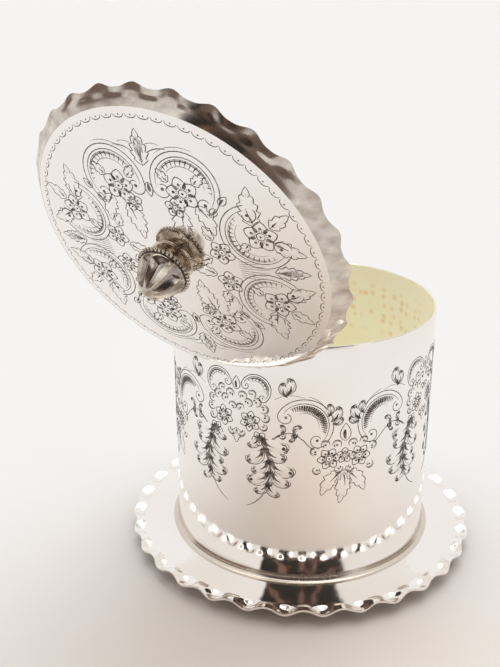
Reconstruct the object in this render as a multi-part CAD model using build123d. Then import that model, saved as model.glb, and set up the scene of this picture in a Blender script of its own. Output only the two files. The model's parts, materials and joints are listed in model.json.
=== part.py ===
from build123d import *
import math
import os

# Lidded silver-plated sugar box on a frilled tray, lid stored open.
# Millimetres. Z up, the table is z = 0, the body's axis is the Z axis.
# Everything is drawn with the hinge towards +X and then turned to HINGE_AZIMUTH.

# ---- driving dimensions ----------------------------------------------------
HINGE_AZIMUTH = -116.0
LID_OPEN_ANGLE = 115.8

BODY_RADIUS = 60.0
WALL = 0.9
TRAY_TOP = 7.6
RIM_Z = 119.6
FLOOR_THICKNESS = 1.0

TRAY_SHEET = 0.9
TRAY_LOBES = 31
TRAY_FLAT_RADIUS = 63.0
TRAY_SLOPE = (67.5, 7.0)
TRAY_DIP = (73.0, 6.7)
TRAY_RISE = (78.0, 7.5)
TRAY_BLANK_EDGE = (85.0, 9.2)
TRAY_EDGE_MEAN = 81.8
TRAY_EDGE_WAVE = 1.3

FOOT_TOP_RADIUS = 56.0
FOOT_BOTTOM_RADIUS = 58.0
FOOT_SHEET = 1.2
FOOT_LAND = 2.4
FOOT_FLARE = 0.4
FOOT_FLARE_Z = 1.6
FOOT_LIP_Z = 0.9

MOULDING_REACH = 2.7
MOULDING_RISE = 3.6
MOULDING_LIP = 0.35
MOULDING_FEATHER = 0.12
MOULDING_HOLLOW = (0.85, 1.1)

DOME_EDGE_RADIUS = 58.8
DOME_EDGE_ABOVE_RIM = 4.0
DOME_RISE = 5.0
DOME_SHEET = 0.8

# lid border section: radius, height above the rim
BORDER_TOP = (60.1, 2.35)
BORDER_MIDDLE = (61.7, 0.75)
BORDER_BLANK_EDGE = (65.2, -2.5)
BORDER_UNDER_EDGE = (64.7, -3.1)
BORDER_UNDER_MIDDLE = (61.1, 0.2)
BORDER_UNDER_TOP = (60.35, 0.9)
BORDER_SEAT = (58.6, 1.45)
BORDER_INNER_RADIUS = 56.6
BORDER_INNER_LOW = 1.6
BORDER_INNER_HIGH = 3.4
FRILL_LOBES = 28
FRILL_EDGE_MEAN = 63.5
FRILL_EDGE_WAVE = 0.6

BEZEL_RADIUS = 58.0
BEZEL_SHEET = 0.8
BEZEL_DEPTH = 3.0
BEZEL_ABOVE_RIM = 2.2
BEZEL_GAP_ANGLE = 90.0

PIN_RADIUS = 0.9
PIN_OUT = 62.5
PIN_BELOW_RIM = 5.2
KNUCKLE_RADIUS = 2.1
LID_KNUCKLE_BORE = 0.95
LID_KNUCKLE_LENGTH = 12.0
BODY_KNUCKLE_LENGTH = 5.0
KNUCKLE_GAP = 0.3
LEAF_THICKNESS = 0.9
LEAF_CLEARANCE = 0.02
LEAF_BOTTOM_BELOW_PIN = 5.4
NOTCH_CLEARANCE = 0.6
PIN_HEAD_RADIUS = 1.5
PIN_HEAD_LENGTH = 0.7
PIN_HEAD_ROUND = 0.5
LID_WEB_THICKNESS = 1.4
PAD_WIDTH = 2.6
PAD_HEIGHT = 1.8
STOP_LENGTH = 4.0
STOP_THICKNESS = 1.0
STOP_GAP = 0.15

STEM_FOOT_RADIUS = 7.6
COLLAR_BASE_ABOVE_RIM = 14.2
COLLAR_HEIGHT = 1.4
COLLAR_RADIUS = 10.5
COLLAR_ROUND = 0.6
COLLAR_BEADS = 40
BEAD_GROOVE_RADIUS = 0.3
BEAD_LEAN = 22.0
BUD_RADIUS = 9.0
BUD_TIP_Z = 27.2
BUD_FLUTES = 8
FLUTE_RADIUS = 9.0
FLUTE_OUT = 15.4
FLUTE_ABOVE_RIM = 21.2
STUD_RADIUS = 1.5
STUD_HOLE = 1.55
STUD_IN_BUD = 4.0
STUD_BELOW_NUT = 0.8
WASHER_RADIUS = 4.0
WASHER_THICKNESS = 0.6
NUT_RADIUS = 3.2
NUT_HEIGHT = 2.2
SEAT_GAP = 0.05

# ---- derived ---------------------------------------------------------------
INNER_RADIUS = BODY_RADIUS - WALL
PIN_Z = RIM_Z - PIN_BELOW_RIM
DOME_EDGE_Z = RIM_Z + DOME_EDGE_ABOVE_RIM
DOME_TOP_Z = DOME_EDGE_Z + DOME_RISE
DOME_SPHERE = (DOME_EDGE_RADIUS**2 + DOME_RISE**2) / (2 * DOME_RISE)
KNUCKLE_OFFSET = LID_KNUCKLE_LENGTH / 2 + KNUCKLE_GAP + BODY_KNUCKLE_LENGTH / 2
LEAF_HALF_WIDTH = KNUCKLE_OFFSET + BODY_KNUCKLE_LENGTH / 2
COLLAR_BASE_Z = RIM_Z + COLLAR_BASE_ABOVE_RIM
COLLAR_TOP_Z = COLLAR_BASE_Z + COLLAR_HEIGHT


def turned(section):
    """Solid of revolution about Z of a closed XZ section."""
    return revolve(section, Axis.Z)


def polygon_xz(points):
    """Face in the XZ plane bounded by straight lines through the points."""
    return make_face(Plane.XZ * Polyline(*points, close=True))


def wavy_column(mean, wave, lobes, bottom, top):
    """Column whose outline swings out once per lobe, a lobe lying on +X."""
    count = lobes * 6
    points = []
    for i in range(count):
        angle = 2 * math.pi * i / count
        swing = math.cos(lobes * angle)
        radius = mean + wave * swing
        points.append((radius * math.cos(angle), radius * math.sin(angle)))
    outline = Spline(*points, periodic=True)
    return extrude(Pos(0, 0, bottom) * make_face(outline), top - bottom)


def tube(outer, inner, bottom, top):
    """Straight tube about Z."""
    height = top - bottom
    ring = Cylinder(outer, height) - Cylinder(inner, height + 2)
    return Pos(0, 0, (bottom + top) / 2) * ring


def across(radius, length, y, x, z):
    """Round bar parallel to Y."""
    return Pos(x, y, z) * Rot(90, 0, 0) * Cylinder(radius, length)


def lowered(point, drop):
    """A section point moved straight down."""
    return (point[0], point[1] - drop)


def above_rim(point):
    """A section point given by its height above the rim, at its real height."""
    return (point[0], RIM_Z + point[1])


# ---- tray with frilled edge --------------------------------------------------
tray_line = [(TRAY_FLAT_RADIUS, TRAY_TOP), TRAY_SLOPE, TRAY_DIP, TRAY_RISE, TRAY_BLANK_EDGE]
tray_under = [lowered(point, TRAY_SHEET) for point in reversed(tray_line)]
tray_section = Curve() + [
    Line((0, TRAY_TOP), tray_line[0]),
    Spline(*tray_line, tangents=((1, -0.1), (1, 0.22))),
    Line(tray_line[-1], tray_under[0]),
    Spline(*tray_under, tangents=((-1, -0.22), (-1, 0.1))),
    Line(tray_under[-1], (0, TRAY_TOP - TRAY_SHEET)),
    Line((0, TRAY_TOP - TRAY_SHEET), (0, TRAY_TOP)),
]
tray_blank = turned(make_face(Plane.XZ * tray_section))
tray_edge_cut = wavy_column(TRAY_EDGE_MEAN, TRAY_EDGE_WAVE, TRAY_LOBES, 0, 2 * TRAY_TOP)
tray_dish = tray_blank & tray_edge_cut

# ---- foot ring under the tray ------------------------------------------------
foot_top = TRAY_TOP - TRAY_SHEET
foot_ring = turned(
    polygon_xz(
        [
            (FOOT_TOP_RADIUS - FOOT_SHEET, foot_top),
            (FOOT_TOP_RADIUS, foot_top),
            (FOOT_TOP_RADIUS + FOOT_FLARE, FOOT_FLARE_Z),
            (FOOT_BOTTOM_RADIUS, FOOT_LIP_Z),
            (FOOT_BOTTOM_RADIUS, 0.0),
            (FOOT_BOTTOM_RADIUS - FOOT_LAND, 0.0),
            (FOOT_TOP_RADIUS + FOOT_FLARE - FOOT_SHEET, FOOT_FLARE_Z - FOOT_FLARE),
        ]
    )
)

# ---- body ----------------------------------------------------------------------
body_wall = tube(BODY_RADIUS, INNER_RADIUS, TRAY_TOP, RIM_Z)
floor_middle = TRAY_TOP + FLOOR_THICKNESS / 2
body_floor = Pos(0, 0, floor_middle) * Cylinder(INNER_RADIUS, FLOOR_THICKNESS)

# ---- hollow moulding in the corner between wall and tray ---------------------------
moulding_foot = (BODY_RADIUS + MOULDING_REACH, TRAY_TOP)
moulding_lip = (BODY_RADIUS + MOULDING_REACH, TRAY_TOP + MOULDING_LIP)
moulding_top = (BODY_RADIUS + MOULDING_FEATHER, TRAY_TOP + MOULDING_RISE)
moulding_hollow = (BODY_RADIUS + MOULDING_HOLLOW[0], TRAY_TOP + MOULDING_HOLLOW[1])
moulding_section = Curve() + [
    Line((BODY_RADIUS, TRAY_TOP), moulding_foot),
    Line(moulding_foot, moulding_lip),
    ThreePointArc(moulding_lip, moulding_hollow, moulding_top),
    Line(moulding_top, (BODY_RADIUS, TRAY_TOP + MOULDING_RISE)),
    Line((BODY_RADIUS, TRAY_TOP + MOULDING_RISE), (BODY_RADIUS, TRAY_TOP)),
]
base_moulding = turned(make_face(Plane.XZ * moulding_section))

# ---- hinge half on the body: curved leaf with two knuckles ----------------------
leaf_inner = BODY_RADIUS + LEAF_CLEARANCE
leaf_bottom = PIN_Z - LEAF_BOTTOM_BELOW_PIN
leaf_band = tube(leaf_inner + LEAF_THICKNESS, leaf_inner, leaf_bottom, PIN_Z)
leaf_window = Pos(BODY_RADIUS, 0, (leaf_bottom + PIN_Z) / 2) * Box(
    20, 2 * LEAF_HALF_WIDTH, PIN_Z - leaf_bottom
)
leaf_notch = Pos(BODY_RADIUS, 0, PIN_Z) * Box(
    20, LID_KNUCKLE_LENGTH + 2 * KNUCKLE_GAP, 2 * (KNUCKLE_RADIUS + NOTCH_CLEARANCE)
)
body_web_depth = PIN_OUT - BODY_RADIUS
body_web_height = 3.6
body_hinge_leaf = (leaf_band & leaf_window) - leaf_notch
for side in (-1, 1):
    y = side * KNUCKLE_OFFSET
    knuckle = across(KNUCKLE_RADIUS, BODY_KNUCKLE_LENGTH, y, PIN_OUT, PIN_Z)
    web = Pos(PIN_OUT - body_web_depth, y, PIN_Z - body_web_height / 2) * Box(
        2 * body_web_depth, BODY_KNUCKLE_LENGTH, body_web_height
    )
    body_hinge_leaf = body_hinge_leaf + knuckle + web
body_hinge_leaf = body_hinge_leaf - Pos(0, 0, PIN_Z) * Cylinder(leaf_inner, 40)
body_hinge_leaf = body_hinge_leaf - across(PIN_RADIUS, 60, 0, PIN_OUT, PIN_Z)

head_middle = LEAF_HALF_WIDTH + PIN_HEAD_LENGTH / 2
hinge_pin = across(PIN_RADIUS, 2 * LEAF_HALF_WIDTH, 0, PIN_OUT, PIN_Z)
for side in (-1, 1):
    head = across(PIN_HEAD_RADIUS, PIN_HEAD_LENGTH, side * head_middle, PIN_OUT, PIN_Z)
    outer_edge = head.edges().sort_by(Axis.Y)[-1 if side > 0 else 0]
    hinge_pin = hinge_pin + fillet(outer_edge, PIN_HEAD_ROUND)

# ---- lid, drawn closed -------------------------------------------------------------
dome_centre = DOME_TOP_Z - DOME_SPHERE
dome_shell = Pos(0, 0, dome_centre) * (Sphere(DOME_SPHERE) - Sphere(DOME_SPHERE - DOME_SHEET))
dome_cut = Pos(0, 0, DOME_TOP_Z - 5) * Cylinder(DOME_EDGE_RADIUS, 20)
lid_dome = dome_shell & dome_cut
lid_dome = lid_dome - Pos(0, 0, DOME_TOP_Z) * Cylinder(STUD_HOLE, 10)

border_start = (DOME_EDGE_RADIUS + 0.1, DOME_EDGE_Z + 0.1)
border_upper = Spline(
    border_start,
    above_rim(BORDER_TOP),
    above_rim(BORDER_MIDDLE),
    above_rim(BORDER_BLANK_EDGE),
    tangents=((0.5, -1), (1, -0.9)),
)
border_under = Spline(
    above_rim(BORDER_UNDER_EDGE),
    above_rim(BORDER_UNDER_MIDDLE),
    above_rim(BORDER_UNDER_TOP),
    above_rim(BORDER_SEAT),
    tangents=((-1, 0.9), (-1, 0.1)),
)
border_inner_low = above_rim((BORDER_INNER_RADIUS, BORDER_INNER_LOW))
border_inner_high = above_rim((BORDER_INNER_RADIUS, BORDER_INNER_HIGH))
border_shoulder = (DOME_EDGE_RADIUS, DOME_EDGE_Z + 0.1)
border_section = Curve() + [
    border_upper,
    Line(border_upper @ 1, border_under @ 0),
    border_under,
    Line(border_under @ 1, border_inner_low),
    Line(border_inner_low, border_inner_high),
    Line(border_inner_high, border_shoulder),
    Line(border_shoulder, border_start),
]
border_blank = turned(make_face(Plane.XZ * border_section))
frill_column = wavy_column(FRILL_EDGE_MEAN, FRILL_EDGE_WAVE, FRILL_LOBES, RIM_Z - 10, RIM_Z + 10)
dome_space = Pos(0, 0, dome_centre) * Sphere(DOME_SPHERE + 2) & dome_cut
dome_space = dome_space - Pos(0, 0, dome_centre) * Sphere(DOME_SPHERE - DOME_SHEET)
lid_border = (border_blank & frill_column) - dome_space

bezel_inner = BEZEL_RADIUS - BEZEL_SHEET
bezel_ring = tube(BEZEL_RADIUS, bezel_inner, RIM_Z - BEZEL_DEPTH, RIM_Z + BEZEL_ABOVE_RIM)
gap_half = math.radians(BEZEL_GAP_ANGLE / 2)
gap_reach = 90.0
gap_wedge = make_face(
    Polyline(
        (0, 0),
        (gap_reach * math.cos(gap_half), gap_reach * math.sin(gap_half)),
        (gap_reach * math.cos(gap_half), -gap_reach * math.sin(gap_half)),
        close=True,
    )
)
lid_bezel = bezel_ring - extrude(Pos(0, 0, RIM_Z - 10) * gap_wedge, 20) - lid_border

# hinge half on the lid: knuckle, web up to the border, and a stop tail
lid_knuckle = across(KNUCKLE_RADIUS, LID_KNUCKLE_LENGTH, 0, PIN_OUT, PIN_Z)
lid_web = Pos(PIN_OUT, 0, PIN_Z + PIN_BELOW_RIM / 2) * Box(
    LID_WEB_THICKNESS, LID_KNUCKLE_LENGTH, PIN_BELOW_RIM
)
solder_pad = Pos(PIN_OUT, 0, RIM_Z - PAD_HEIGHT) * Box(PAD_WIDTH, LID_KNUCKLE_LENGTH, PAD_HEIGHT)
leaf_face = PIN_OUT - (leaf_inner + LEAF_THICKNESS) - STOP_GAP
stop_angle_open = -90 - math.degrees(math.asin(leaf_face / STOP_LENGTH))
stop_angle_closed = stop_angle_open + LID_OPEN_ANGLE
stop_bar = Pos(STOP_LENGTH / 2, 0, STOP_THICKNESS / 2) * Box(
    STOP_LENGTH, LID_KNUCKLE_LENGTH, STOP_THICKNESS
)
stop_tail = Pos(PIN_OUT, 0, PIN_Z) * Rot(0, -stop_angle_closed, 0) * stop_bar
above_border = tube(80, 40, RIM_Z + 1.5, RIM_Z + 20)
lid_hinge_leaf = lid_knuckle + lid_web + solder_pad + stop_tail
lid_hinge_leaf = lid_hinge_leaf - across(LID_KNUCKLE_BORE, 60, 0, PIN_OUT, PIN_Z)
lid_hinge_leaf = lid_hinge_leaf - lid_border - above_border
lid_hinge_leaf = lid_hinge_leaf.solids().sort_by(SortBy.VOLUME)[-1]

# ---- finial --------------------------------------------------------------------------
stem_z = DOME_TOP_Z
stem_outline = Spline(
    (STEM_FOOT_RADIUS, stem_z + 0.5),
    (5.0, stem_z + 1.3),
    (4.1, stem_z + 2.4),
    (4.9, stem_z + 3.3),
    tangents=((-1, 0.15), (0.5, 1)),
)
cup_outline = Spline(
    (4.9, stem_z + 3.7),
    (5.6, stem_z + 4.3),
    (8.4, COLLAR_BASE_Z),
    tangents=((0.1, 1), (1, 0.6)),
)
stem_section = Curve() + [
    Line((STUD_HOLE, stem_z - 1.0), (STEM_FOOT_RADIUS, stem_z - 1.0)),
    Line((STEM_FOOT_RADIUS, stem_z - 1.0), (STEM_FOOT_RADIUS, stem_z + 0.5)),
    stem_outline,
    Line(stem_outline @ 1, (5.4, stem_z + 3.5)),
    Line((5.4, stem_z + 3.5), cup_outline @ 0),
    cup_outline,
    Line(cup_outline @ 1, (STUD_HOLE, COLLAR_BASE_Z)),
    Line((STUD_HOLE, COLLAR_BASE_Z), (STUD_HOLE, stem_z - 1.0)),
]
finial_stem = turned(make_face(Plane.XZ * stem_section))
finial_stem = finial_stem - Pos(0, 0, dome_centre) * Sphere(DOME_SPHERE)

collar_middle = (COLLAR_TOP_Z + COLLAR_BASE_Z) / 2
finial_collar = Pos(0, 0, collar_middle) * Cylinder(COLLAR_RADIUS, COLLAR_HEIGHT)
finial_collar = fillet(finial_collar.edges().filter_by(GeomType.CIRCLE), COLLAR_ROUND)
bead_groove = Rot(0, BEAD_LEAN, 0) * Cylinder(BEAD_GROOVE_RADIUS, 4)
for place in PolarLocations(COLLAR_RADIUS + 0.05, COLLAR_BEADS):
    finial_collar = finial_collar - Pos(0, 0, collar_middle) * place * bead_groove
finial_collar = finial_collar - Pos(0, 0, collar_middle) * Cylinder(STUD_HOLE, 10)

bud_outline = Spline(
    (BUD_RADIUS, COLLAR_TOP_Z + 0.4),
    (8.7, RIM_Z + 18.2),
    (7.3, RIM_Z + 21.6),
    (4.9, RIM_Z + 24.8),
    (1.2, RIM_Z + BUD_TIP_Z - 0.25),
    tangents=((-0.02, 1), (-0.75, 0.6)),
)
bud_section = Curve() + [
    Line((0, COLLAR_TOP_Z), (BUD_RADIUS, COLLAR_TOP_Z)),
    Line((BUD_RADIUS, COLLAR_TOP_Z), bud_outline @ 0),
    bud_outline,
    Line(bud_outline @ 1, (0, RIM_Z + BUD_TIP_Z)),
    Line((0, RIM_Z + BUD_TIP_Z), (0, COLLAR_TOP_Z)),
]
finial_bud = turned(make_face(Plane.XZ * bud_section))
flute = Pos(FLUTE_OUT, 0, RIM_Z + FLUTE_ABOVE_RIM) * Sphere(FLUTE_RADIUS)
for k in range(BUD_FLUTES):
    finial_bud = finial_bud - Rot(0, 0, 360 * (k + 0.5) / BUD_FLUTES) * flute
stud_top = COLLAR_TOP_Z + STUD_IN_BUD
stud_hole_length = 20.0
stud_hole = Cylinder(STUD_HOLE, stud_hole_length)
finial_bud = finial_bud - Pos(0, 0, stud_top + SEAT_GAP - stud_hole_length / 2) * stud_hole

dome_under = DOME_TOP_Z - DOME_SHEET - SEAT_GAP
washer_bottom = dome_under - WASHER_THICKNESS
nut_bottom = washer_bottom - NUT_HEIGHT
finial_washer = tube(WASHER_RADIUS, STUD_HOLE, washer_bottom, dome_under)
nut_blank = extrude(Pos(0, 0, nut_bottom) * RegularPolygon(NUT_RADIUS, 6), NUT_HEIGHT)
finial_nut = nut_blank - Pos(0, 0, nut_bottom) * Cylinder(STUD_HOLE, 10)
stud_bottom = nut_bottom - STUD_BELOW_NUT
stud_length = stud_top - stud_bottom
finial_stud = Pos(0, 0, (stud_top + stud_bottom) / 2) * Cylinder(STUD_RADIUS, stud_length)

# ---- open the lid, turn the whole box to its place, export ------------------------------
pin_point = Pos(PIN_OUT, 0, PIN_Z)
swing_open = pin_point * Rot(0, LID_OPEN_ANGLE, 0) * pin_point.inverse()
place_all = Rot(0, 0, HINGE_AZIMUTH)

body_parts = {
    "tray_dish": tray_dish,
    "foot_ring": foot_ring,
    "base_moulding": base_moulding,
    "body_wall": body_wall,
    "body_floor": body_floor,
    "body_hinge_leaf": body_hinge_leaf,
    "hinge_pin": hinge_pin,
}
lid_parts = {
    "lid_dome": lid_dome,
    "lid_border": lid_border,
    "lid_bezel": lid_bezel,
    "lid_hinge_leaf": lid_hinge_leaf,
    "finial_stem": finial_stem,
    "finial_collar": finial_collar,
    "finial_bud": finial_bud,
    "finial_stud": finial_stud,
    "finial_washer": finial_washer,
    "finial_nut": finial_nut,
}

os.makedirs("parts", exist_ok=True)
for name, shape in body_parts.items():
    export_step(place_all * shape, f"parts/{name}.step")
for name, shape in lid_parts.items():
    export_step(place_all * swing_open * shape, f"parts/{name}.step")
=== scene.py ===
"""Looks of the engraved sugar box with its hinged lid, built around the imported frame."""

import json
import logging
import math
from dataclasses import dataclass, field
from enum import Enum
from typing import Iterator, Sequence

import bmesh
import bpy
from mathutils import Euler, Matrix, Vector


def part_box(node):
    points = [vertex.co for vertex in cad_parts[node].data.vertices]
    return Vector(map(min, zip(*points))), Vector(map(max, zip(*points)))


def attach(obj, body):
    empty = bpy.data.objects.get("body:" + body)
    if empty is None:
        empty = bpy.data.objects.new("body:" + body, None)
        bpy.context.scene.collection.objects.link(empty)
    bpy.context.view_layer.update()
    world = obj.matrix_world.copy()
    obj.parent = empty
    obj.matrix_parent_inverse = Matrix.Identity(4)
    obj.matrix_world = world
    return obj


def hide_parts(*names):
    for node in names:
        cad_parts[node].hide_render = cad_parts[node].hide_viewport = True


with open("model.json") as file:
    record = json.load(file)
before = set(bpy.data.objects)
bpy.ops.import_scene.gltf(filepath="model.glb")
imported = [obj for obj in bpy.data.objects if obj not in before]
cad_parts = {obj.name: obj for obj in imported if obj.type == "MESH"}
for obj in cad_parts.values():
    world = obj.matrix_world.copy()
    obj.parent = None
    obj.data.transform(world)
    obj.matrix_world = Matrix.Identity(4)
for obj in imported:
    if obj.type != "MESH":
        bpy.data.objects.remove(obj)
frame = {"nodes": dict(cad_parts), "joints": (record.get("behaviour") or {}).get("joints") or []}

MM = 0.001
FULL_TURN = 2 * math.pi
ROUND_STEPS = 288
CREASE_ANGLE = math.radians(32)
LOG = logging.getLogger("sugar_box")

STUD_HOLE = 1.55 * MM
STEPS_PER_LOBE = 14

Point = tuple[float, float]
Triple = tuple[float, float, float]
Socket = bpy.types.NodeSocket
Finish = bpy.types.Material
Piece = bpy.types.Object
Mesh = bmesh.types.BMesh


class Ride(Enum):
    """The two bodies a piece can ride on."""

    BOX = "box"
    LID = "lid"


class Slot(Enum):
    """The record's material slots."""

    SILVER = "silver"
    GILT = "gilt"
    HINGE = "hinge_silver"
    FASTENER = "fastener"


# ---------------------------------------------------------------------------
# Finishes
# ---------------------------------------------------------------------------


class NodeSheet:
    """A material's node tree with short ways to add and join nodes."""

    def __init__(self, name: str) -> None:
        """Start an empty material.

        Args:
            name: the material's name.
        """
        self.material = bpy.data.materials.new(name)
        self.material.use_nodes = True
        self.tree = self.material.node_tree
        self.tree.nodes.clear()
        self.shader = self.add("ShaderNodeBsdfPrincipled")
        output = self.add("ShaderNodeOutputMaterial")
        self.join(self.shader.outputs["BSDF"], output.inputs["Surface"])
        self.place = self.add("ShaderNodeTexCoord").outputs["Object"]

    def add(self, kind: str, **settings: object) -> bpy.types.Node:
        """Add one node.

        Args:
            kind: the node's type name.
            **settings: properties set on the node.

        Returns:
            The new node.
        """
        node = self.tree.nodes.new(kind)
        for key, value in settings.items():
            setattr(node, key, value)
        return node

    def join(self, source: Socket, target: Socket) -> None:
        """Link one socket to another."""
        self.tree.links.new(source, target)

    def stretched(self, scale: Sequence[float], turn: Sequence[float] = (0, 0, 0)) -> Socket:
        """Object coordinates, stretched and turned.

        Args:
            scale: how much denser the pattern is along each axis.
            turn: the pattern's turn about each axis, in radians.

        Returns:
            The vector socket.
        """
        mapping = self.add("ShaderNodeMapping")
        mapping.inputs["Scale"].default_value = scale
        mapping.inputs["Rotation"].default_value = turn
        self.join(self.place, mapping.inputs["Vector"])
        return mapping.outputs["Vector"]

    def noise(self, scale: float, detail: float, where: Socket | None = None) -> Socket:
        """Noise between 0 and 1.

        Args:
            scale: the noise's scale in waves per metre.
            detail: how many octaves it has.
            where: the coordinates, or None for plain object coordinates.

        Returns:
            The noise's value socket.
        """
        node = self.add("ShaderNodeTexNoise")
        node.inputs["Scale"].default_value = scale
        node.inputs["Detail"].default_value = detail
        self.join(where or self.place, node.inputs["Vector"])
        return node.outputs["Fac"]

    def spread(self, value: Socket, low: float, high: float, to_low: float, to_high: float) -> Socket:
        """Map a value from one range to another, held at its ends.

        Args:
            value: the value to map.
            low: the input's lower end.
            high: the input's upper end.
            to_low: the output at the lower end.
            to_high: the output at the upper end.

        Returns:
            The mapped value.
        """
        node = self.add("ShaderNodeMapRange")
        node.inputs["From Min"].default_value = low
        node.inputs["From Max"].default_value = high
        node.inputs["To Min"].default_value = to_low
        node.inputs["To Max"].default_value = to_high
        self.join(value, node.inputs["Value"])
        return node.outputs["Result"]

    def between(self, share: Socket, first: Sequence[float], second: Sequence[float]) -> Socket:
        """A colour between two colours.

        Args:
            share: 0 gives the first colour and 1 the second.
            first: the first colour.
            second: the second colour.

        Returns:
            The colour socket.
        """
        node = self.add("ShaderNodeMix", data_type="RGBA")
        node.inputs["A"].default_value = (*first, 1.0)
        node.inputs["B"].default_value = (*second, 1.0)
        self.join(share, node.inputs["Factor"])
        return node.outputs["Result"]

    def combine(self, how: str, first: Socket, second: Socket) -> Socket:
        """Combine two values by a math operation such as ADD or MULTIPLY.

        Args:
            how: the operation's name.
            first: the first value.
            second: the second value.

        Returns:
            The result's socket.
        """
        node = self.add("ShaderNodeMath", operation=how)
        self.join(first, node.inputs[0])
        self.join(second, node.inputs[1])
        return node.outputs["Value"]

    def relief(self, height: Socket, depth: float) -> None:
        """Give the shader a bump.

        Args:
            height: the relief, from 0 to 1.
            depth: the relief's depth in metres.
        """
        node = self.add("ShaderNodeBump")
        node.inputs["Strength"].default_value = 1.0
        node.inputs["Distance"].default_value = depth
        self.join(height, node.inputs["Height"])
        self.join(node.outputs["Normal"], self.shader.inputs["Normal"])


@dataclass(frozen=True)
class PolishedSilver:
    """Polished silver plate with hairline scratches and faint cloudy wear."""

    name: str
    bright: Triple = (0.955, 0.925, 0.895)
    dull: Triple = (0.90, 0.85, 0.80)
    smooth: float = 0.045
    cloudy: float = 0.13
    scratch_depth: float = 0.0000016

    def material(self) -> Finish:
        """Build the finish.

        Returns:
            The material.
        """
        sheet = NodeSheet(self.name)
        clouds = sheet.noise(38.0, 5.0)
        fine = sheet.noise(900.0, 3.0)
        worn = sheet.combine("MULTIPLY", clouds, fine)
        sheet.join(sheet.between(clouds, self.bright, self.dull), sheet.shader.inputs["Base Color"])
        sheet.join(sheet.spread(worn, 0.15, 0.42, self.smooth, self.cloudy), sheet.shader.inputs["Roughness"])
        hairs = sheet.noise(420.0, 2.0, sheet.stretched((1.0, 1.0, 14.0), (0.3, 0.2, 0.0)))
        cross = sheet.noise(380.0, 2.0, sheet.stretched((12.0, 1.0, 1.0), (0.0, 0.5, 0.7)))
        sheet.relief(sheet.combine("ADD", hairs, cross), self.scratch_depth)
        sheet.shader.inputs["Metallic"].default_value = 1.0
        return sheet.material


@dataclass(frozen=True)
class TarnishedAndShadedSilver:
    """Silver darkened to brown-grey in streaks: tarnish, with painted shade and painted dark reflections."""

    name: str
    clean: Triple = (0.76, 0.70, 0.63)
    # The dark end stands for tarnish together with painted shade and the painted reflection of dark
    # surroundings.
    tarnish: Triple = (0.42, 0.35, 0.30)
    share_low: float = 0.30
    share_high: float = 0.72
    roughness_low: float = 0.08
    roughness_high: float = 0.26

    def material(self) -> Finish:
        """Build the finish.

        Returns:
            The material.
        """
        sheet = NodeSheet(self.name)
        streaks = sheet.noise(150.0, 6.0, sheet.stretched((1.0, 0.5, 1.6), (0.4, 0.9, 0.2)))
        share = sheet.spread(streaks, self.share_low, self.share_high, 0.0, 1.0)
        sheet.join(sheet.between(share, self.clean, self.tarnish), sheet.shader.inputs["Base Color"])
        sheet.join(
            sheet.spread(share, 0.0, 1.0, self.roughness_low, self.roughness_high),
            sheet.shader.inputs["Roughness"],
        )
        sheet.relief(sheet.noise(700.0, 3.0), 0.0000015)
        sheet.shader.inputs["Metallic"].default_value = 1.0
        return sheet.material


@dataclass(frozen=True)
class GoldWash:
    """Pale, satin gold wash, warmer in its thicker patches."""

    name: str
    pale: Triple = (1.0, 0.975, 0.83)
    warm: Triple = (1.0, 0.95, 0.74)
    mark: Triple = (0.86, 0.66, 0.40)
    roughness_low: float = 0.36
    roughness_high: float = 0.52
    grain_depth: float = 0.00002
    marks_from: float = 0.084
    marks_to: float = 0.112

    def material(self) -> Finish:
        """Build the finish.

        Returns:
            The material.
        """
        sheet = NodeSheet(self.name)
        patches = sheet.noise(30.0, 3.0)
        grain = sheet.noise(1400.0, 4.0)
        tone = sheet.between(sheet.spread(patches, 0.35, 0.7, 0.0, 1.0), self.pale, self.warm)
        spots = sheet.add("ShaderNodeTexVoronoi")
        spots.inputs["Scale"].default_value = 210.0
        spots.inputs["Randomness"].default_value = 0.55
        sheet.join(sheet.place, spots.inputs["Vector"])
        split = sheet.add("ShaderNodeSeparateXYZ")
        sheet.join(sheet.place, split.inputs["Vector"])
        above = sheet.spread(split.outputs["Z"], self.marks_from, self.marks_from + 0.004, 0.0, 1.0)
        below = sheet.spread(split.outputs["Z"], self.marks_to - 0.004, self.marks_to, 1.0, 0.0)
        inside = sheet.combine("MULTIPLY", above, below)
        groups = sheet.spread(sheet.noise(55.0, 2.0), 0.36, 0.46, 0.0, 0.7)
        dots = sheet.spread(spots.outputs["Distance"], 0.14, 0.42, 1.0, 0.0)
        share = sheet.combine("MULTIPLY", sheet.combine("MULTIPLY", dots, groups), inside)
        spotted = sheet.add("ShaderNodeMix", data_type="RGBA")
        spotted.inputs["B"].default_value = (*self.mark, 1.0)
        sheet.join(tone, spotted.inputs["A"])
        sheet.join(share, spotted.inputs["Factor"])
        sheet.join(spotted.outputs["Result"], sheet.shader.inputs["Base Color"])
        sheet.join(
            sheet.spread(grain, 0.3, 0.7, self.roughness_low, self.roughness_high),
            sheet.shader.inputs["Roughness"],
        )
        sheet.relief(grain, self.grain_depth)
        sheet.shader.inputs["Metallic"].default_value = 0.15
        return sheet.material


@dataclass(frozen=True)
class DarkenedCut:
    """The darkened bottom of an engraved cut or punch mark: tarnish in the cut, with the groove's shade
    painted in.
    """

    name: str
    # Near-black stands in for the shade inside the cut; noise lightens it where the cut is rubbed.
    deep: Triple = (0.085, 0.068, 0.058)
    rubbed: Triple = (0.30, 0.26, 0.225)

    def material(self) -> Finish:
        """Build the finish.

        Returns:
            The material.
        """
        sheet = NodeSheet(self.name)
        rub = sheet.noise(520.0, 3.0)
        tone = sheet.between(sheet.spread(rub, 0.42, 0.66, 0.0, 1.0), self.deep, self.rubbed)
        sheet.join(tone, sheet.shader.inputs["Base Color"])
        sheet.join(sheet.spread(rub, 0.3, 0.7, 0.6, 0.35), sheet.shader.inputs["Roughness"])
        sheet.shader.inputs["Metallic"].default_value = 0.7
        return sheet.material


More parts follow.
